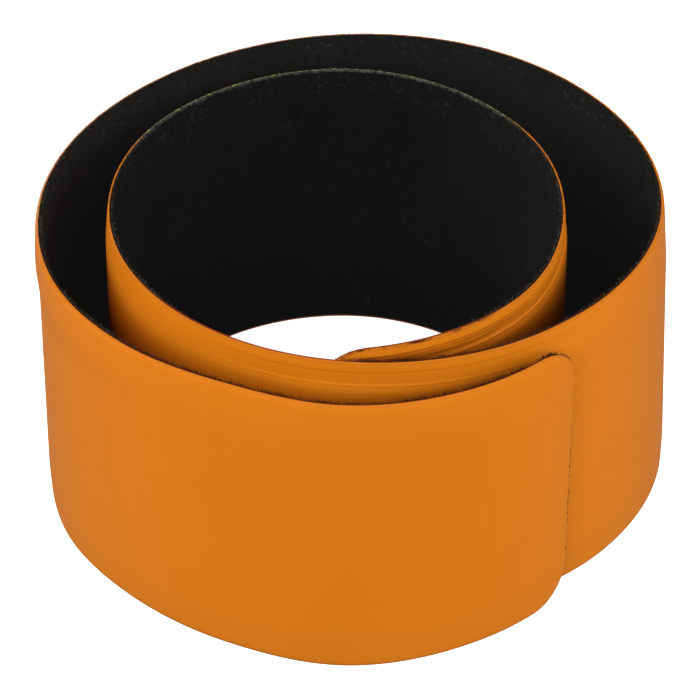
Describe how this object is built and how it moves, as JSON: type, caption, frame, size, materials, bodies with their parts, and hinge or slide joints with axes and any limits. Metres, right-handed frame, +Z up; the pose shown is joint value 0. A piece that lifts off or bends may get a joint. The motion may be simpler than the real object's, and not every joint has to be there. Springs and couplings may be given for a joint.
{
  "type": "slap bracelet",
  "caption": "Slap bracelet rolled up and standing on its edge: an orange plastic band with rounded ends, a hidden steel spring and a black flocked inside.",
  "frame": {"origin": "centre of the coil's outline on the surface that it stands on", "axes": "+Z up along the coil's axis, -Y towards the side where the outer end of the band lies, a little to the right of it"},
  "size_m": [0.0602, 0.0617, 0.03],
  "materials": {
    "black_flock": "matt black flock, a short velvet pile on a plastic film",
    "spring_steel": "plain rolled spring steel, sealed in and not seen",
    "orange_pvc": "smooth, softly glossy orange PVC film"
  },
  "bodies": {
    "root": {"backing": "black_flock", "spring": "spring_steel", "face": "orange_pvc"}
  },
  "joints": []
}
